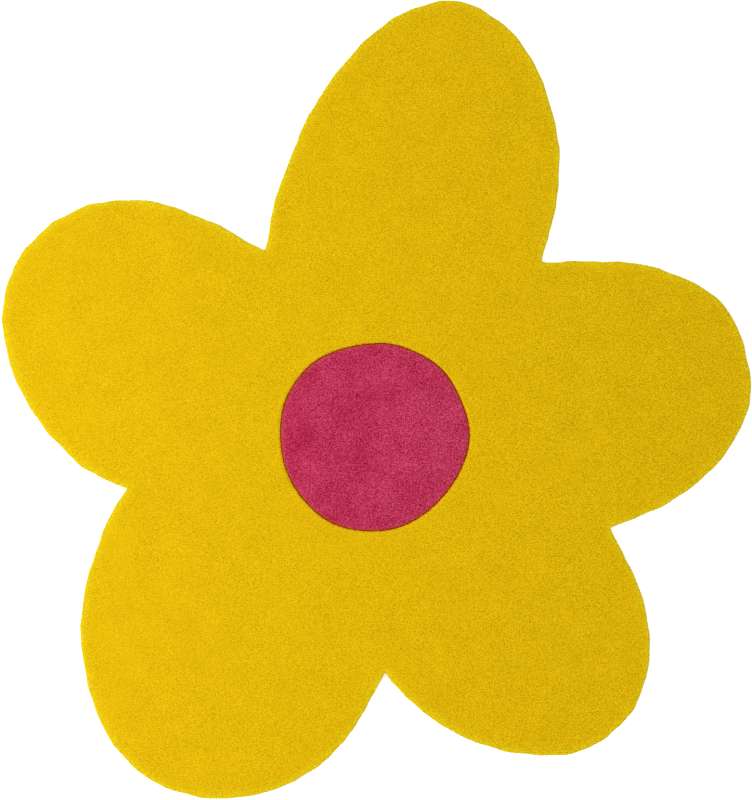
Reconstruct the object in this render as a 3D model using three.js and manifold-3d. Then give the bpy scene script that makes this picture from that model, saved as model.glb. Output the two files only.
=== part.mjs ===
// A hand-tufted wool rug in the outline of an uneven five-petalled flower, lying flat.
// Millimetres, +Z up. The origin is under the middle of the rug's box, on the surface that it lies on.
// +X runs to the rug's right and +Y to its top petal, seen from above.

import * as THREE from 'three';
import { mergeVertices } from 'three/addons/utils/BufferGeometryUtils.js';
import Module from 'manifold-3d';

const wasm = await Module();
wasm.setup();

// Heights, from the surface up
const GROUND_CLOTH = 3;
const PILE = 12;
const THICKNESS = GROUND_CLOTH + PILE;

// How the pile's top rim is shorn: rounded at the free edge, and cut to one side of a V at the carved groove
const FREE_RIM = { inset: 6, drop: 6, steps: 3 };
const GROOVE_RIM = { inset: 2, drop: 4, steps: 1 };
const PILE_GAP = 0.3;

// Steps along each quarter of a petal, and round the pink centre
const BASE_STEPS = 10;
const TIP_STEPS = 18;
const CENTRE_STEPS = 96;

// Middle of the pink centre, where the petals' axes meet
const FLOWER_MIDDLE = { x: -6, y: -71 };

// One row for each petal, anticlockwise. Its axis leaves the flower's middle at heading, in degrees from +X, and ends
// at the tip, reach away. On its clockwise side it is widest at nearAt along the axis, nearWide off it, and on the
// other side at farAt and farWide. Fullness 2 makes an ellipse from there to the tip, less a leaner curve and more a
// squarer one.
const PETALS = [
  { heading: 78, reach: 888, nearAt: 533, nearWide: 262, nearFull: 1.8, farAt: 352, farWide: 292, farFull: 2 },
  { heading: 157, reach: 797, nearAt: 497, nearWide: 268, nearFull: 2.15, farAt: 462, farWide: 292, farFull: 1.7 },
  { heading: 237, reach: 824, nearAt: 384, nearWide: 356, nearFull: 1.9, farAt: 515, farWide: 287, farFull: 1.9 },
  { heading: 307, reach: 765, nearAt: 426, nearWide: 266, nearFull: 1.75, farAt: 306, farWide: 272, farFull: 2.4 },
  { heading: 12, reach: 768, nearAt: 385, nearWide: 278, nearFull: 2.15, farAt: 345, farWide: 266, farFull: 2.2 },
];

// From the flower's middle to its widest place, a petal's side is a quarter of an ellipse.
const BASE_FULL = 2;

// The pink centre's rim, which is round but for a few millimetres
const CENTRE_RIM = [
  { bearing: 0, radius: 194 },
  { bearing: 28, radius: 190 },
  { bearing: 48, radius: 191 },
  { bearing: 75, radius: 187 },
  { bearing: 92, radius: 184 },
  { bearing: 118, radius: 186 },
  { bearing: 137, radius: 189 },
  { bearing: 165, radius: 188 },
  { bearing: 205, radius: 188 },
  { bearing: 243, radius: 194 },
  { bearing: 275, radius: 192 },
  { bearing: 300, radius: 189 },
  { bearing: 332, radius: 188 },
];

const YELLOW_WOOL = new THREE.MeshStandardMaterial({ color: 0xddb20b, roughness: 0.95, metalness: 0 });
const PINK_WOOL = new THREE.MeshStandardMaterial({ color: 0xba3355, roughness: 0.95, metalness: 0 });

// A place at this distance along a direction from the flower's middle, and this far off it, anticlockwise
function fromMiddle(direction, along, aside = 0) {
  const place = new THREE.Vector2(along, aside);
  place.rotateAround(new THREE.Vector2(), THREE.MathUtils.degToRad(direction));
  return place.add(FLOWER_MIDDLE);
}

// A quarter of a superellipse, from 1 across to 1 along, in equal turns of its angle
function quarter(full, steps) {
  return Array.from({ length: steps + 1 }, (_, step) => {
    const angle = (step / steps) * (Math.PI / 2);
    return { along: Math.sin(angle) ** (2 / full), across: Math.cos(angle) ** (2 / full) };
  });
}

// One side of a petal, from the flower's middle out to the tip, as distances along its axis and off it
function petalSide({ reach }, widestAt, wide, full) {
  const base = quarter(BASE_FULL, BASE_STEPS).reverse().slice(0, -1).map(({ along, across }) => (
    { along: widestAt * (1 - along), aside: wide * across }
  ));
  const tip = quarter(full, TIP_STEPS).map(({ along, across }) => (
    { along: widestAt + (reach - widestAt) * along, aside: wide * across }
  ));
  return [...base, ...tip];
}

function petalOutline(petal) {
  const near = petalSide(petal, petal.nearAt, petal.nearWide, petal.nearFull);
  const far = petalSide(petal, petal.farAt, petal.farWide, petal.farFull).slice(1, -1).reverse();
  return [
    ...near.map(({ along, aside }) => fromMiddle(petal.heading, along, -aside)),
    ...far.map(({ along, aside }) => fromMiddle(petal.heading, along, aside)),
  ];
}

function centreOutline(grown = 0) {
  const rim = CENTRE_RIM.map(({ bearing, radius }) => {
    const { x, y } = fromMiddle(bearing, radius + grown);
    return new THREE.Vector3(x, y, 0);
  });
  const curve = new THREE.CatmullRomCurve3(rim, true, 'centripetal');
  return curve.getPoints(CENTRE_STEPS).slice(0, -1).map(({ x, y }) => new THREE.Vector2(x, y));
}

// The closed solid of a three.js geometry
function solidOf(geometry) {
  geometry.deleteAttribute('normal');
  geometry.deleteAttribute('uv');
  const merged = mergeVertices(geometry);
  return new wasm.Manifold(new wasm.Mesh({
    numProp: 3,
    vertProperties: merged.attributes.position.array,
    triVerts: new Uint32Array(merged.index.array),
  }));
}

// Everything below a height, as far as the rug reaches
function allBelow(height) {
  const size = 4000;
  return solidOf(new THREE.BoxGeometry(size, size, size).translate(0, 0, height - size / 2));
}

// A solid on an outline from bottom to top, its top rim drawn in by inset over the last drop of height. A negative
// inset flares it instead. ExtrudeGeometry draws in the lower rim alike, and that is cut off.
function pileOn(outline, bottom, top, { inset, drop, steps }) {
  const geometry = new THREE.ExtrudeGeometry(new THREE.Shape(outline), {
    depth: top - drop - bottom,
    bevelThickness: drop,
    bevelSize: inset,
    bevelOffset: -inset,
    bevelSegments: steps,
  });
  return solidOf(geometry.translate(0, 0, bottom)).subtract(allBelow(bottom));
}

// The ground cloth and the yellow pile on it, with the round place that the pink pile fills
function flowerField() {
  const petals = PETALS.map((petal) => pileOn(petalOutline(petal), 0, THICKNESS, FREE_RIM));
  const flower = petals.reduce((joined, petal) => joined.add(petal));
  const flare = { ...GROOVE_RIM, inset: -GROOVE_RIM.inset };
  return flower.subtract(pileOn(centreOutline(PILE_GAP), GROUND_CLOTH, THICKNESS, flare));
}

function flowerCentre() {
  return pileOn(centreOutline(), GROUND_CLOTH + PILE_GAP, THICKNESS, GROOVE_RIM);
}

function namedMesh(name, solid, material) {
  const { vertProperties, triVerts } = solid.getMesh();
  const geometry = new THREE.BufferGeometry();
  geometry.setAttribute('position', new THREE.BufferAttribute(vertProperties, 3));
  geometry.setIndex(new THREE.BufferAttribute(triVerts, 1));
  const mesh = new THREE.Mesh(geometry, material);
  mesh.name = name;
  return mesh;
}

const rug = new THREE.Group();
rug.add(namedMesh('flower_field', flowerField(), YELLOW_WOOL));
rug.add(namedMesh('flower_centre', flowerCentre(), PINK_WOOL));

export default rug;
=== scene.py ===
"""A hand-tufted wool rug in the outline of an uneven flower, lying flat and seen from straight above.

The pile is made tuft by tuft. Each tuft is a low pyramid on a cell of its own, and the pile parts round it.
The rug's outline and its round centre's come from the CAD nodes. Everything is in metres.
"""

import math

import bpy
import numpy as np
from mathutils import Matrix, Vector
from mathutils.geometry import delaunay_2d_cdt
from mathutils.kdtree import KDTree


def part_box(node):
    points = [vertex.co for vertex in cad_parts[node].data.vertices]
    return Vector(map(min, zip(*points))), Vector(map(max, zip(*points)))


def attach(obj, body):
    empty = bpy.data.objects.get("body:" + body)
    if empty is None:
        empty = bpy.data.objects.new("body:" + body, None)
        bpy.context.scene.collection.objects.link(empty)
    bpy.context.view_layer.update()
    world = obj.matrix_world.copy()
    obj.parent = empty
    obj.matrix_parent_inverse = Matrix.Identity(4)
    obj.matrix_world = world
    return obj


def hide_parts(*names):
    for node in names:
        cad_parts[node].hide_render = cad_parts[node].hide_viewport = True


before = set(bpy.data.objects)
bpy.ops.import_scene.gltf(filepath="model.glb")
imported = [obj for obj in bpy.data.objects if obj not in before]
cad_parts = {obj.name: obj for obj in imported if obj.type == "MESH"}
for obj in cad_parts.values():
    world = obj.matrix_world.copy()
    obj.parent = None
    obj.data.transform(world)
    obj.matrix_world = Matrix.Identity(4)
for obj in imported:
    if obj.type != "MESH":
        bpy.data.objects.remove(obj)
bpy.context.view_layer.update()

MM = 0.001

# Heights from the rug's underside
CLOTH_TOP = 3.0 * MM
PILE_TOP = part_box("flower_field")[1].z
FLOOR_BELOW = 0.2 * MM

# Tufts
TUFT = 3.75 * MM                            # from one to the next in the field
EDGE_TUFT = 4.4 * MM                        # along an edge, from one that stands out to the next
EDGE_CLEAR = 0.62                           # how far the field's tufts keep from the edge's, in tufts
STRAY = 0.30                                # off the even grid, in tufts
TIP_UNEVEN = 0.30 * MM                      # how much lower a tip may be shorn
PIT_LEAST, PIT_MOST = 0.4 * MM, 1.0 * MM    # how deep the pile parts between tufts
PIT_NARROW, PIT_WIDE = 0.3, 1.1             # least and most share of that, from narrow pits to wide ones
SHORN_IN = 0.8 * PIT_MOST                   # how much lower the edge tufts that stand in are shorn
SWAY, SWAY_ACROSS = 0.15 * MM, 45 * MM      # how far the tips of a patch lean, and how wide such a patch is
TREMBLE = 0.30 * MM                         # how far each tip leans by itself
SWELL, SWELL_ACROSS = 0.10 * MM, 120 * MM   # how the pile's top rises and falls

# How the pile ends at a line. It lies within the line where side is 1, and all round it where side is -1.
# Over the last wide it falls by drop, and its edge tufts are shorn by shoulder more. They stand gap in from
# the line, every other one scallop further out and the rest as much further in, give or take uneven. The
# first one stands out where first is 1, and in where it is -1. Each row of strands below them has its height
# and how far in from the line it stands, where a minus is past the line. shade has the share of the shaded
# colour in the tufts, and then in each of these rows.
FREE_EDGE = dict(
    wide=24 * MM, drop=1.3 * MM, shoulder=0.4 * MM, gap=-0.1 * MM, scallop=0.45 * MM, uneven=0.45 * MM,
    wall=((10.5 * MM, -0.6 * MM), (6.5 * MM, -0.5 * MM), (CLOTH_TOP, 0.8 * MM)),
    side=1, first=1, shade=(0, 0, 0, 0),
)
GROOVE_EDGE = dict(
    wide=10 * MM, drop=0.5 * MM, shoulder=0.7 * MM, scallop=0.6 * MM, uneven=0.65 * MM,
    wall=((12.7 * MM, 0.9 * MM), (11.0 * MM, 0.12 * MM), (CLOTH_TOP, 0.12 * MM)),
)
# At the groove, the tufts and walls take the shaded colour: painted shade and painted reflected light.
YELLOW_GROOVE = dict(GROOVE_EDGE, gap=1.3 * MM, side=-1, first=1, shade=(0.25, 1, 1, 1))
PINK_GROOVE = dict(GROOVE_EDGE, gap=2.2 * MM, side=1, first=-1, shade=(0.4, 1, 1, 1))

# How far each row of strands follows the one above it, and how uneven it is by itself, as a share of uneven
STRAND_FOLLOWS = 0.8
STRAND_UNEVEN = 0.4

# How far a place counts as a pit, from 0 to 1, and a wall's rows from the highest to the lowest.
# The wool is painted darker the more a place counts as a pit: painted shade.
PIT_OF_TIP_IN = 0.6        # the tip of an edge tuft that stands in
PIT_SHALLOWEST = 0.35
WALL_PIT = (0.3, 1.0)
# How much of the painted highlight at the pile's edge a wall's rows take, from the highest to the lowest
WALL_NEAR_EDGE = (0.5, 0.0)

# The ground cloth's rim, from its foot up, as how far inside the outline and how high
CLOTH_EDGE = ((3.2 * MM, 0.0), (2.6 * MM, 0.5 * MM), (2.6 * MM, 2.5 * MM), (3.2 * MM, CLOTH_TOP))
CLOTH_STEP = 3 * MM

# Outlines. Only at a notch between petals does the outline turn clockwise by more than NOTCH_TURN. The notch
# at the upper right is rounder than the rest. The outline was cut by hand and strays a little: each row of
# HAND_CUT has how far, half the length of such a wave, and a seed. Another program picked both seeds, so
# that the stray comes close to the photograph's outline.
PETALS = ("right", "top", "left", "lower_left", "lower_right")  # anticlockwise, from the flower's right
NOTCH_TURN = math.radians(-25)
NOTCH_EASE = 5 * MM
ROUND_NOTCH_EASE = 14 * MM
ROUND_NOTCH_REACH = 45 * MM
LINE_STEP = 0.5 * MM
HAND_CUT = ((0.9 * MM, 85 * MM, 202), (0.7 * MM, 28 * MM, 165))

# Closer together than these, two heights or two tufts count as the same.
SAME_HEIGHT = 0.01 * MM
SAME_PLACE = 1e-9

# A drift is a sum of waves. Half such a wave is from DRIFT_SHORT to DRIFT_LONG of the patches' width.
DRIFT_WAVES = 14
DRIFT_SHORT, DRIFT_LONG = 0.6, 1.6

# Each pile's map is the view from above, with its walls laid out round it.
MAP_TOP_SHARE = 0.86   # of the map's width; the foot, which nothing sees, takes the rest
MAP_EDGE = 0.004
WALL_ON_MAP = 1.2      # how wide a wall is laid out, for each unit of its height

# Noises in the wool and threads in the cloth, as waves in a metre
FIBRES = 460
STRAND_ENDS = 1100
# patches of painted light and shade, where the pile leans this way and that
LEAN_SHADE_PATCHES = 20
OPENINGS = 9
THREADS = 260
UP_THE_STRANDS = (1, 1, 0.3)  # the share of the fibres' and the strand ends' waves along x, y and z

# The wool's mix of dark and light
EVEN_MIX = 0.6         # the share of light where nothing shifts it
# Painted shade: how much darker the pits and the lower walls are made
PIT_PAINTED_SHADE = 0.25
TUFT_SHARE = 0.07      # how far whole tufts differ, for each unit of grain
OPEN_LEAST = 0.5       # the mottling's strength at the rug's middle, where the pile stands closest
OPEN_RIGHTWARDS = 0.4  # and how much stronger it is for each metre to the right
SEEN_POWER = 2.2       # from a colour as it is seen to the shader's linear one

# Roughness, and how far the fibres and the threads shift it
WOOL_ROUGH, FIBRES_ROUGHER = 0.8, 0.25
CLOTH_ROUGH, THREADS_SMOOTHER = 0.95, 0.1

# The photograph's frame holds VIEW_HIGH of the pile's top, seen from VIEW_FROM above it.
VIEW_HIGH = 1.6052
VIEW_MIDDLE = (0.0, 0.0)
VIEW_FROM = 4.5
SENSOR_WIDE = 36  # in millimetres, as Blender has it

# Studio
WHITE = (1, 1, 1, 1)
PALE = (0.9, 0.9, 0.9, 1)
FLOOR_WIDE = 60
LAMP_PLACE = (-3.1, -0.2, 3.2)
LAMP_WIDE = 2.2
LAMP_POWER = 197


# Outlines

def unit(ways):
    return ways / np.linalg.norm(ways, axis=1, keepdims=True)


def foot_outline(node):
    """The corners of a CAD node's flat foot, anticlockwise from above."""
    corners = [tuple(round(c, 6) for c in v.co) for v in node.data.vertices]
    foot = min(z for _, _, z in corners) + SAME_HEIGHT
    sides = set()
    for face in node.data.polygons:
        ring = [corners[i] for i in face.vertices]
        if all(z < foot for _, _, z in ring):
            for here, there in zip(ring, ring[1:] + ring[:1]):
                if (there, here) in sides:
                    sides.remove((there, here))
                else:
                    sides.add((here, there))
    before = {there: here for here, there in sides}  # the foot faces down, so its rim runs clockwise
    place = min(before)
    loop = []
    while len(loop) < len(before):
        loop.append(place[:2])
        place = before[place]
    return np.array(loop)


def turns(loop):
    """How far a closed line turns anticlockwise at each of its points."""
    ways = np.roll(loop, -1, axis=0) - loop
    headings = np.arctan2(ways[:, 1], ways[:, 0])
    return (headings - np.roll(headings, 1) + math.pi) % (2 * math.pi) - math.pi


def smooth_run(points):
    """Places LINE_STEP apart on a smooth curve through these points, without the last."""
    gaps = np.linalg.norm(np.diff(points, axis=0), axis=1)
    at = np.concatenate([[0], np.cumsum(gaps)])
    slopes = np.gradient(points, at, axis=0)
    places = np.linspace(0, at[-1], round(at[-1] / LINE_STEP), endpoint=False)
    i = np.searchsorted(at, places, side="right") - 1
    gap = gaps[i][:, None]
    t = (places - at[i])[:, None] / gap
    near = (1 + 2 * t) * (1 - t) ** 2 * points[i] + t * (1 - t) ** 2 * gap * slopes[i]
    far = t ** 2 * (3 - 2 * t) * points[i + 1] - t ** 2 * (1 - t) * gap * slopes[i + 1]
    return near + far


def eased(line, reach):
    """A closed line of evenly spaced points with its corners rounded, about reach to each side."""
    rates = np.fft.fftfreq(len(line), LINE_STEP)
    keep = np.exp(-2 * (math.pi * rates * reach) ** 2)
    return np.fft.ifft(np.fft.fft(line, axis=0) * keep[:, None], axis=0).real


def stations(line, count):
    """Evenly spaced places round a closed line, and the way out of it at each."""
    closed = np.concatenate([line, line[:1]])
    at = np.concatenate([[0], np.cumsum(np.linalg.norm(np.diff(closed, axis=0), axis=1))])
    wanted = np.linspace(0, at[-1], count, endpoint=False)
    places = np.stack([np.interp(wanted, at, closed[:, axis]) for axis in (0, 1)], 1)
    ways = unit(np.roll(places, -1, axis=0) - np.roll(places, 1, axis=0))
    return places, np.stack([ways[:, 1], -ways[:, 0]], 1)


def drift(places, across, seed):
    """A smooth uneven value at each place, mostly between -1.5 and 1.5, in patches about across wide."""
    rng = np.random.default_rng(seed)
    headings = rng.uniform(0, 2 * math.pi, DRIFT_WAVES)
    rates = math.pi / (across * rng.uniform(DRIFT_SHORT, DRIFT_LONG, DRIFT_WAVES))
    ways = np.stack([np.cos(headings), np.sin(headings)]) * rates
    waves = np.sin(places @ ways + rng.uniform(0, 2 * math.pi, DRIFT_WAVES))
    return waves.sum(1) / math.sqrt(DRIFT_WAVES / 2)


def flower_line():
    """The flower's outline as a fine line, and its notches."""
    loop = foot_outline(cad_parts["flower_field"])
    at_notch = np.flatnonzero(turns(loop) < NOTCH_TURN)
    loop = np.roll(loop, -at_notch[0], axis=0)
    starts = [*(at_notch - at_notch[0]), len(loop)]
    notches = loop[starts[:-1]]
    loop = np.concatenate([loop, loop[:1]])
    line = np.concatenate([smooth_run(loop[a:b + 1]) for a, b in zip(starts, starts[1:])])

    upper_right = notches[notches.sum(1).argmax()]
    apart = np.linalg.norm(line - upper_right, axis=1)
    share = np.exp(-(apart / ROUND_NOTCH_REACH) ** 2)[:, None]
    line = (1 - share) * eased(line, NOTCH_EASE) + share * eased(line, ROUND_NOTCH_EASE)

    line, out = stations(line, len(line))
    stray = sum(size * drift(line, across, seed) for size, across, seed in HAND_CUT)
    return line + out * stray[:, None], notches


def centre_line():
    """The round centre's outline as a fine line."""
    loop = foot_outline(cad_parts["flower_centre"])
    return eased(smooth_run(np.concatenate([loop, loop[:1]])), NOTCH_EASE)


# Pile

def rim_tufts(edge, rng):
    """The tufts along an edge, every other one standing in, and the columns of strands under them."""
    length = len(edge["line"]) * LINE_STEP
    count = 2 * round(length / EDGE_TUFT)
    places, out = stations(edge["line"], count)
    out = out * edge["side"]
    proud = np.where(np.arange(count) % 2 == 0, 1.0, -1.0) * edge["first"]
    reach = edge["scallop"] * proud + edge["uneven"] * rng.uniform(-1, 1, count)
    tips = places + out * (reach - edge["gap"])[:, None]
    column = []
    for height, inside in edge["wall"]:
        reach = STRAND_FOLLOWS * reach + STRAND_UNEVEN * edge["uneven"] * rng.uniform(-1, 1, count)
        strands = places + out * (reach - inside)[:, None]
        column.append(np.column_stack([strands, np.full(count, height)]))
    shade = np.tile(edge["shade"], (count, 1))
    return dict(tips=tips, columns=np.stack(column, 1), out=out, proud=proud, shade=shade)


def inner_tufts(edges, rng):
    """The tufts of the field: an uneven grid of them inside every edge.

    Each comes with how far it is from the nearest edge, and which edge that is.
    """
    everything = np.concatenate([edge["line"] for edge in edges])
    low, high = everything.min(0), everything.max(0)
    row_gap = TUFT * math.sqrt(3) / 2
    across, up = np.meshgrid(np.arange(low[0], high[0], TUFT), np.arange(low[1], high[1], row_gap))
    across[1::2] += TUFT / 2
    grid = np.stack([across.ravel(), up.ravel()], 1)
    grid += rng.uniform(-STRAY, STRAY, grid.shape) * TUFT
    keep = np.ones(len(grid), bool)
    inset = np.full(len(grid), np.inf)
    nearest = np.zeros(len(grid), int)
    for number, edge in enumerate(edges):
        places, out = stations(edge["line"], round(len(edge["line"]) / 2))
        out = out * edge["side"]
        tree = KDTree(len(places))
        for i, (x, y) in enumerate(places):
            tree.insert((x, y, 0), i)
        tree.balance()
        near = np.array([tree.find((x, y, 0))[1] for x, y in grid])
        apart = grid - places[near]
        distance = np.linalg.norm(apart, axis=1)
        within = (apart * out[near]).sum(1) < 0
        keep &= within & (distance > edge["gap"] + EDGE_CLEAR * TUFT)
        nearest[distance < inset] = number
        inset = np.minimum(inset, distance)
    return grid[keep], inset[keep], nearest[keep]


def cells(middles, rims):
    """Triangles between neighbouring tufts, without those outside the pile.

    The tufts of each edge come first, and rims has where each edge's start and where the last one's end.
    """
    bounds = list(zip(rims, rims[1:]))
    ties = [(a + i, a + (i + 1) % (b - a)) for a, b in bounds for i in range(b - a)]
    found = delaunay_2d_cdt([Vector(p) for p in middles], ties, [], 0, SAME_PLACE, True)
    source = np.array([ids[0] for ids in found[3]])
    triangles = source[np.array(found[2])]

    # Only a triangle between three edge tufts can be outside. It is inside if a line from it crosses the
    # edges an odd number of times.
    doubtful = np.flatnonzero((triangles < rims[-1]).all(1))
    middle = middles[triangles[doubtful]].mean(1)
    inside = np.zeros(len(doubtful), bool)
    for a, b in bounds:
        here, there = middles[a:b], np.roll(middles[a:b], -1, axis=0)
        over = (here[:, 1] > middle[:, None, 1]) != (there[:, 1] > middle[:, None, 1])
        rise = np.where(here[:, 1] == there[:, 1], 1, there[:, 1] - here[:, 1])
        share = (middle[:, None, 1] - here[:, 1]) / rise
        crossed = over & (here[:, 0] + share * (there[:, 0] - here[:, 0]) > middle[:, None, 0])
        inside ^= crossed.sum(1) % 2 == 1
    return np.delete(triangles, doubtful[~inside], axis=0)


def fans(triangles, tufts):
    """Faces that stand each tuft on its own cell, and each face's tuft.

    There is a pit in the middle of each triangle. Pits are numbered on from the tufts.
    """
    start = triangles.ravel()
    end = np.roll(triangles, -1, axis=1).ravel()
    pit = tufts + np.repeat(np.arange(len(triangles)), 3)
    key, twin_key = start * tufts + end, end * tufts + start
    order = np.argsort(key)
    found = np.searchsorted(key[order], twin_key).clip(0, len(key) - 1)
    twin = order[found]
    paired = key[twin] == twin_key
    before = np.where(paired, pit[twin], end)
    return np.stack([start, before, pit], 1), start


def ways_up(places, faces):
    """Which way the surface faces at each place."""
    a, b, c = (places[faces[:, corner]] for corner in range(3))
    across = np.cross(b - a, c - a)
    return unit(np.stack([
        np.bincount(faces.ravel(), np.repeat(across[:, axis], 3), len(places)) for axis in range(3)
    ], 1))


def pile(edges, seed):
    """A pile's tips and pits, its faces with their tufts, and the columns of strands at its edges."""
    rng = np.random.default_rng(seed)
    rims = [rim_tufts(edge, rng) for edge in edges]
    starts = np.concatenate([[0], np.cumsum([len(rim["out"]) for rim in rims])])
    field, inset, nearest = inner_tufts(edges, rng)
    middles = np.concatenate([rim["tips"] for rim in rims] + [field])
    nearest = np.concatenate([np.repeat(np.arange(len(rims)), np.diff(starts)), nearest])
    wide, drop, shoulder, gap = (
        np.array([edge[name] for edge in edges])[nearest] for name in ("wide", "drop", "shoulder", "gap")
    )
    inset = np.concatenate([gap[:starts[-1]], inset])
    proud = np.concatenate([rim["proud"] for rim in rims] + [np.ones(len(field))])
    shade = np.concatenate([rim["shade"][:, 0] for rim in rims] + [np.zeros(len(field))])
    near_edge = np.clip(1 - inset / wide, 0, 1) ** 2
    level = PILE_TOP - drop * near_edge + SWELL * drift(middles, SWELL_ACROSS, seed + 1)
    level[:starts[-1]] -= shoulder[:starts[-1]]

    triangles = cells(middles, starts)
    corners = middles[triangles]
    size = np.linalg.norm(corners - np.roll(corners, 1, axis=1), axis=2).mean(1)
    depth = rng.uniform(PIT_LEAST, PIT_MOST, len(triangles)) * np.clip(size / TUFT, PIT_NARROW, PIT_WIDE)
    pits = np.column_stack([corners.mean(1), level[triangles].mean(1) - depth])

    lean = SWAY * np.stack([drift(middles, SWAY_ACROSS, seed + 2), drift(middles, SWAY_ACROSS, seed + 3)], 1)
    lean += rng.normal(0, TREMBLE, middles.shape)
    lean[:starts[-1]] = 0
    shorn = TIP_UNEVEN * rng.uniform(0, 1, len(middles)) + SHORN_IN * (proud < 0)
    tips = np.column_stack([middles + lean, level - shorn])
    # How far each tip and each pit counts as a pit, for the wool's painted shade
    pit_of_tip = np.where(proud < 0, PIT_OF_TIP_IN, 0.0)
    pit_of_pit = PIT_SHALLOWEST + (1 - PIT_SHALLOWEST) * (depth / PIT_MOST).clip(0, 1)

    faces, owner = fans(triangles, len(middles))
    places = np.concatenate([tips, pits])
    return dict(
        places=places,
        ways=ways_up(places, faces),
        faces=faces,
        owner=owner,
        yarn=rng.uniform(0, 1, len(middles)),
        pit=np.concatenate([pit_of_tip, pit_of_pit]),
        near_edge=np.concatenate([near_edge, near_edge[triangles].mean(1)]),
        shade=np.concatenate([shade, shade[triangles].mean(1)]),
        rim=starts[-1],
        proud=proud,
        columns=np.concatenate([rim["columns"] for rim in rims]),
        column_shade=np.concatenate([rim["shade"][:, 1:] for rim in rims]),
        out=np.concatenate([rim["out"] for rim in rims]),
    )


# Meshes

def mesh_object(name, places, faces, material, flat):
    """An object of these places and faces. Each item of faces is an array with a row for each face."""
    mesh = bpy.data.meshes.new(name)
    counts = np.concatenate([np.full(len(rows), rows.shape[1]) for rows in faces])
    corners = np.concatenate([rows.ravel() for rows in faces])
    mesh.vertices.add(len(places))
    mesh.vertices.foreach_set("co", places.astype(np.float32).ravel())
    mesh.loops.add(len(corners))
    mesh.loops.foreach_set("vertex_index", corners.astype(np.int32))
    mesh.polygons.add(len(counts))
    mesh.polygons.foreach_set("loop_start", (np.cumsum(counts) - counts).astype(np.int32))
    mesh.polygons.foreach_set("use_smooth", ~flat)
    mesh.update(calc_edges=True)
    mesh.validate()
    mesh.materials.append(material)
    made = bpy.data.objects.new(name, mesh)
    bpy.context.scene.collection.objects.link(made)
    return made


def give(mesh, name, domain, *values):
    """An attribute for the materials to read."""
    values = np.concatenate([np.ravel(part) for part in values]).astype(np.float32)
    mesh.attributes.new(name, "FLOAT", domain).data.foreach_set("value", values)


def rim_of(faces):
    """The sides that only one face has, as a loop that runs with the faces."""
    start, end = faces.ravel(), np.roll(faces, -1, axis=1).ravel()
    most = int(faces.max()) + 1
    alone = ~np.isin(start * most + end, end * most + start)
    after = dict(zip(start[alone].tolist(), end[alone].tolist()))
    place = min(after)
    loop = []
    while len(loop) < len(after):
        loop.append(place)
        place = after[place]
    return np.array(loop)


def laid_out(at, loop, below, out):
    """Each place of a pile on its map, first those of its top and then its walls', from 0 to 1 both ways."""
    fall = (at[loop, 2][:, None] - below[:, :, 2]) * WALL_ON_MAP
    spread = at[loop, None, :2] + out[:, None] * fall[:, :, None]
    flat_map = np.concatenate([at[:, :2], spread.reshape(-1, 2)])
    return (flat_map - flat_map.min(0)) / np.ptp(flat_map, axis=0)


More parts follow.
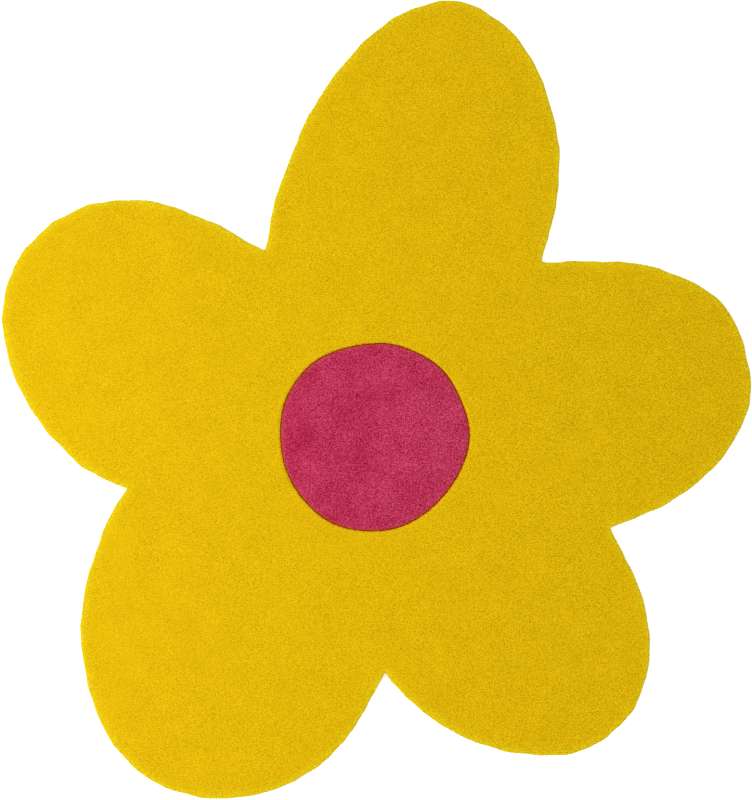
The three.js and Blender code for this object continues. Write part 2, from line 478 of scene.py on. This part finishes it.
def pile_piece(name, whole, chosen, middle, material):
    """A closed solid of the tufts chosen, with a flat foot on the cloth."""
    mine = chosen[whole["owner"]]
    faces, owner = whole["faces"][mine], whole["owner"][mine]
    kept, top = np.unique(faces, return_inverse=True)
    top = top.reshape(-1, 3)
    loop = rim_of(top)
    ids = kept[loop]
    on_edge = ids < whole["rim"]
    at = whole["places"][kept]

    # Each place of the rim has a column down to the foot, straight down where the piece meets its neighbour.
    rows = whole["columns"].shape[1]
    below = np.repeat(at[loop, None], rows, axis=1)
    below[:, :, 2] += (CLOTH_TOP - below[:, :, 2]) * (np.arange(1, rows + 1) / rows)
    below[on_edge] = whole["columns"][ids[on_edge]]
    number = len(kept) + np.arange(len(loop) * rows).reshape(len(loop), rows)
    column = np.column_stack([loop, number])
    beside = np.roll(column, -1, axis=0)
    wall = np.stack([beside[:, :-1], column[:, :-1], column[:, 1:], beside[:, 1:]], 2).reshape(-1, 4)
    foot = column[::-1, -1][None]
    cut = np.repeat(~(on_edge & np.roll(on_edge, -1)), rows)
    flat = np.concatenate([np.zeros(len(top), bool), cut, [True]])
    places = np.concatenate([at, below.reshape(-1, 3)])
    made = mesh_object(name, places, [top, wall, foot], material, flat)

    # Each face of the wall is of the one of its two edge tufts that stands out.
    strand = np.where(on_edge, ids, 0)
    strand = np.where(whole["proud"][strand] < 0, np.roll(strand, -1), strand)
    yarn = whole["yarn"]
    near = whole["near_edge"][kept]
    shade = np.zeros((len(loop), rows))
    shade[on_edge] = whole["column_shade"][ids[on_edge]]
    give(made.data, "yarn", "FACE", yarn[owner], np.repeat(yarn[strand], rows), [0])
    # pit sets how much painted shade the wool puts in, more down the walls.
    give(made.data, "pit", "POINT", whole["pit"][kept], np.tile(np.linspace(*WALL_PIT, rows), len(loop)))
    give(made.data, "near_edge", "POINT", near, near[loop, None] * np.linspace(*WALL_NEAR_EDGE, rows))
    give(made.data, "shade", "POINT", whole["shade"][kept], shade)

    # On the map, a wall lies beside the rim, and one that meets a neighbour away from the piece's middle.
    away = at[loop, :2] - middle
    heart = at[:, :2].mean(0) - middle
    turn = np.sign(away[:, 1] * heart[0] - away[:, 0] * heart[1])
    out = unit(np.stack([-away[:, 1], away[:, 0]], 1)) * turn[:, None]
    out[on_edge] = whole["out"][ids[on_edge]]
    corner = np.concatenate([top.ravel(), wall.ravel(), foot.ravel()])
    uv = laid_out(at, loop, below, out)[corner]
    of_foot = np.arange(len(corner)) >= len(corner) - foot.size
    uv[~of_foot, 0] *= MAP_TOP_SHARE
    uv[of_foot] *= 1 - MAP_TOP_SHARE
    uv[of_foot, 0] += MAP_TOP_SHARE
    uv = MAP_EDGE + (1 - 2 * MAP_EDGE) * uv
    made.data.uv_layers.new(name="OFBake").uv.foreach_set("vector", uv.astype(np.float32).ravel())

    # Where the piece meets its neighbour, both are shaded as one surface.
    met = np.zeros(len(kept), bool)
    met[loop[~on_edge]] = True
    ways = np.zeros((len(corner), 3))
    joined = np.flatnonzero(met[top.ravel()])
    ways[joined] = whole["ways"][kept[top.ravel()[joined]]]
    made.data.normals_split_custom_set(ways.tolist())
    return made


def ground_cloth(line, material):
    """The cloth that the pile is tufted into, which ends a little inside the pile."""
    places, out = stations(line, round(len(line) * LINE_STEP / CLOTH_STEP))
    rings = [
        np.column_stack([places - out * inset, np.full(len(places), height)])
        for inset, height in CLOTH_EDGE
    ]
    number = np.arange(len(rings) * len(places)).reshape(len(rings), -1)
    below, above = number[:-1], number[1:]
    wall = np.stack([below, np.roll(below, -1, axis=1), np.roll(above, -1, axis=1), above], 2)
    faces = [wall.reshape(-1, 4), number[:1, ::-1], number[-1:]]
    flat = np.ones(sum(len(rows) for rows in faces), bool)
    return mesh_object("ground_cloth", np.concatenate(rings), faces, material, flat)


# Materials

def add(tree, kind, inputs=(), **settings):
    """A new shader node with these settings and inputs, each a number, a colour or another node's socket."""
    made = tree.nodes.new("ShaderNode" + kind)
    for name, value in settings.items():
        setattr(made, name, value)
    for name, value in dict(inputs).items():
        if isinstance(value, bpy.types.NodeSocket):
            tree.links.new(value, made.inputs[name])
        else:
            made.inputs[name].default_value = value
    return made


def plain_material(name, **sockets):
    """A material with these numbers and colours on its shader's own sockets, with its tree and shader."""
    material = bpy.data.materials.new(name)
    material.use_nodes = True
    shader = material.node_tree.nodes["Principled BSDF"]
    for socket, value in sockets.items():
        shader.inputs[socket.replace("_", " ")].default_value = value
    return material, material.node_tree, shader


def seen(red, green, blue):
    """A colour as the eye sees it, from 0 to 255 a part. The wools mix these and are made linear last."""
    return [red / 255, green / 255, blue / 255, 1.0]


def linear(red, green, blue):
    """The same colour as the shader takes it."""
    return [(part / 255) ** SEEN_POWER for part in (red, green, blue)] + [1.0]


def total(tree, *parts):
    """The sum of value x weight over pairs of a socket or number and its weight."""
    so_far = 0.0
    for value, weight in parts:
        node = add(tree, "Math", {0: value, 1: weight, 2: so_far}, operation="MULTIPLY_ADD")
        so_far = node.outputs[0]
    return so_far


def mixed(tree, share, one, other, **settings):
    """The colour that a mix of these two makes."""
    return add(tree, "Mix", {0: share, 6: one, 7: other}, data_type="RGBA", **settings).outputs[2]


def wool(name, dark, light, rim, shaded, grain, ply, lightest, patchy):
    """Cut wool pile, mixed between its dark and light colours.

    Its fibres shift the mix by grain, the ends of its strands by ply, and its patches of painted light
    and shade, where the pile leans this way and that, by patchy. Fibres, strands and tufts together
    lighten it by lightest at most. The colour rim is a painted highlight, added towards an edge where
    its splayed fibres catch more light. The colour shaded is painted shade down in the groove, reddened
    by painted light bounced between the two wools.
    """
    material, tree, shader = plain_material(
        name, Sheen_Weight=0.15, Sheen_Roughness=0.5, Sheen_Tint=[part ** SEEN_POWER for part in light],
        Specular_IOR_Level=0.02,
    )
    place = add(tree, "TexCoord").outputs["Object"]
    along = add(tree, "Mapping", {"Vector": place, "Scale": UP_THE_STRANDS}).outputs[0]
    fibres = {"Vector": along, "Scale": FIBRES, "Detail": 2, "Roughness": 0.6}
    fibre = add(tree, "TexNoise", fibres).outputs[0]
    ends = add(tree, "TexVoronoi", {"Vector": along, "Scale": STRAND_ENDS}).outputs["Color"]
    end = add(tree, "SeparateColor", {0: ends}).outputs[0]
    # Painted light and shade: patches where the pile leans this way and that are made lighter or darker.
    lean_shade = add(tree, "TexNoise", {"Vector": place, "Scale": LEAN_SHADE_PATCHES, "Detail": 3}).outputs[0]
    yarn, pit, near_edge, shade = (
        add(tree, "Attribute", attribute_name=given).outputs["Fac"]
        for given in ("yarn", "pit", "near_edge", "shade")
    )

    # The pile stands more open in some places than in others, and towards the right.
    opening = add(tree, "TexNoise", {"Vector": place, "Scale": OPENINGS, "Detail": 2}).outputs[0]
    rightwards = add(tree, "SeparateXYZ", {0: place}).outputs[0]
    open_pile = total(tree, (1.0, OPEN_LEAST), (opening, 1.0), (rightwards, OPEN_RIGHTWARDS))

    # Each noise is about 0.5 on average, so half its weight comes off.
    tuft = TUFT_SHARE * grain
    mottle = total(tree, (1.0, -0.5 * (grain + ply + tuft)), (fibre, grain), (end, ply), (yarn, tuft))
    mottle = add(tree, "Math", {0: mottle, 1: lightest}, operation="MINIMUM").outputs[0]
    # The pits and the lower walls are darkened here: painted shade.
    mix = total(
        tree, (1.0, EVEN_MIX - 0.5 * patchy), (mottle, open_pile), (lean_shade, patchy), (pit, -PIT_PAINTED_SHADE)
    )
    colour = mixed(tree, mix, dark, light, clamp_factor=True)
    # Painted highlight: rim is added towards the pile's edge, where its splayed fibres catch more light.
    colour = mixed(tree, near_edge, colour, rim, blend_type="ADD")
    # Painted shade down in the groove, reddened by painted light bounced between the two wools.
    colour = mixed(tree, shade, colour, shaded)
    colour = add(tree, "Gamma", {0: colour, 1: SEEN_POWER}).outputs[0]

    bump = add(tree, "Bump", {"Height": fibre, "Strength": 0.5, "Distance": 0.4 * MM}).outputs[0]
    tree.links.new(colour, shader.inputs["Base Color"])
    rough = total(tree, (1.0, WOOL_ROUGH), (fibre, FIBRES_ROUGHER))
    tree.links.new(rough, shader.inputs["Roughness"])
    tree.links.new(bump, shader.inputs["Normal"])
    return material


def cotton():
    """The ground cloth's plain weave."""
    material, tree, shader = plain_material("cotton", Specular_IOR_Level=0.2)
    place = add(tree, "TexCoord").outputs["Object"]
    threads = [
        add(
            tree, "TexWave", {"Vector": place, "Scale": THREADS, "Distortion": 0.6, "Detail": 1},
            wave_type="BANDS", bands_direction=way,
        ).outputs["Fac"]
        for way in "XY"
    ]
    weave = total(tree, (threads[0], 0.5), (threads[1], 0.5))
    colour = mixed(tree, weave, linear(196, 184, 158), linear(224, 215, 194))
    tree.links.new(colour, shader.inputs["Base Color"])
    rough = total(tree, (1.0, CLOTH_ROUGH), (weave, -THREADS_SMOOTHER))
    tree.links.new(rough, shader.inputs["Roughness"])
    bump = add(tree, "Bump", {"Height": weave, "Strength": 0.6, "Distance": 0.3 * MM}).outputs[0]
    tree.links.new(bump, shader.inputs["Normal"])
    return material


# The rug

# rim is a painted highlight added at the pile's edge.
# shaded is painted shade down in the groove, reddened by painted light bounced between the two wools.
YELLOW = dict(
    dark=seen(142, 108, 4), light=seen(224, 189, 23), rim=seen(5, 17, 8), shaded=seen(164, 68, 10),
    grain=2.0, ply=0.55, lightest=0.14, patchy=0.11,
)
PINK = dict(
    dark=seen(110, 2, 28), light=seen(184, 73, 103), rim=seen(10, 25, 22), shaded=seen(144, 52, 18),
    grain=2.2, ply=1.1, lightest=5.0, patchy=0.5,
)

outline, notches = flower_line()
centre = centre_line()
middle = centre.mean(0)

yellow_wool = wool("yellow_wool", **YELLOW)
pink_wool = wool("pink_wool", **PINK)

cloth = ground_cloth(outline, cotton())
yellow_pile = pile([dict(FREE_EDGE, line=outline), dict(YELLOW_GROOVE, line=centre)], seed=11)
pink_pile = pile([dict(PINK_GROOVE, line=centre)], seed=23)

# The yellow pile is parted from each notch to the centre, into a piece for each petal.
away = yellow_pile["places"][:, :2] - middle
bearing = np.arctan2(away[:, 1], away[:, 0]) % (2 * math.pi)
partings = np.sort(np.arctan2(*(notches - middle).T[::-1]) % (2 * math.pi))
petal_of = np.searchsorted(partings, bearing) % len(PETALS)

piles = []
for number, petal in enumerate(PETALS):
    chosen = petal_of[:len(yellow_pile["yarn"])] == number
    piles.append(pile_piece(f"pile_{petal}", yellow_pile, chosen, middle, yellow_wool))
    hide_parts("flower_field")
everywhere = np.ones(len(pink_pile["yarn"]), bool)
piles.append(pile_piece("pile_centre", pink_pile, everywhere, middle, pink_wool))
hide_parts("flower_centre")

for piece in [cloth, *piles]:
    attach(piece, "root")


# Studio

def studio():
    """A pale floor, a soft light from the left, and the camera straight above."""
    bpy.ops.mesh.primitive_plane_add(size=FLOOR_WIDE, location=(0, 0, -FLOOR_BELOW))
    floor = bpy.context.object
    floor.name = "floor"
    paint, _, _ = plain_material(
        "floor", Base_Color=PALE, Roughness=0.9, Emission_Color=WHITE, Emission_Strength=0.4
    )
    floor.data.materials.append(paint)

    world = bpy.data.worlds.new("studio")
    world.use_nodes = True
    world.node_tree.nodes["Background"].inputs["Color"].default_value = WHITE
    bpy.context.scene.world = world

    key = bpy.data.lights.new("key", "AREA")
    key.size = LAMP_WIDE
    key.energy = LAMP_POWER
    lamp = bpy.data.objects.new("key", key)
    lamp.location = LAMP_PLACE
    lamp.rotation_mode = "QUATERNION"
    lamp.rotation_quaternion = lamp.location.to_track_quat("Z", "Y")
    bpy.context.scene.collection.objects.link(lamp)

    lens = bpy.data.cameras.new("camera")
    lens.sensor_width = SENSOR_WIDE
    lens.lens = SENSOR_WIDE * VIEW_FROM / VIEW_HIGH
    camera = bpy.data.objects.new("camera", lens)
    camera.location = (*VIEW_MIDDLE, VIEW_FROM + PILE_TOP)
    bpy.context.scene.collection.objects.link(camera)
    bpy.context.scene.camera = camera
    bpy.context.scene.view_settings.view_transform = "Standard"


studio()
